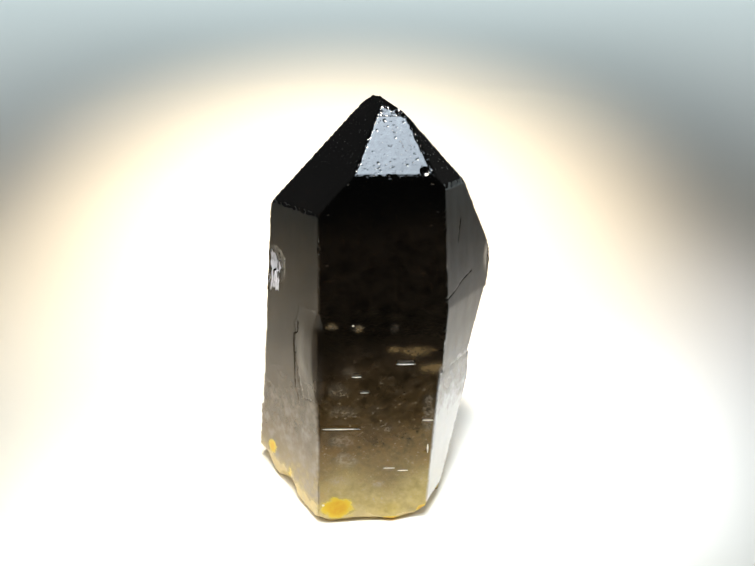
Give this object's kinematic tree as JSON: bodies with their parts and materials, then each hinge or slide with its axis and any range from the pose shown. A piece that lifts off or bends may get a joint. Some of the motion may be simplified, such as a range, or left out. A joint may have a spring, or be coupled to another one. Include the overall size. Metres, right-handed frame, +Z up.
{
  "type": "quartz crystal",
  "caption": "Morion (dark smoky) quartz crystal point with flat prism and point faces, growth ledges and chips, standing on its broken, milky and iron-stained base",
  "frame": {"origin": "middle of the bounding box, on the flat broken base", "axes": "+Z up, nearly along the crystal's length; the broad front prism face looks towards -Y; +X is to the right of that face"},
  "size_m": [0.0268, 0.0286, 0.042],
  "materials": {
    "morion_quartz": "glossy natural crystal faces, near-black and see-through at the point, paling to milky tan with yellow iron stain at the broken base"
  },
  "bodies": {
    "root": {"crystal": "morion_quartz"}
  },
  "joints": []
}
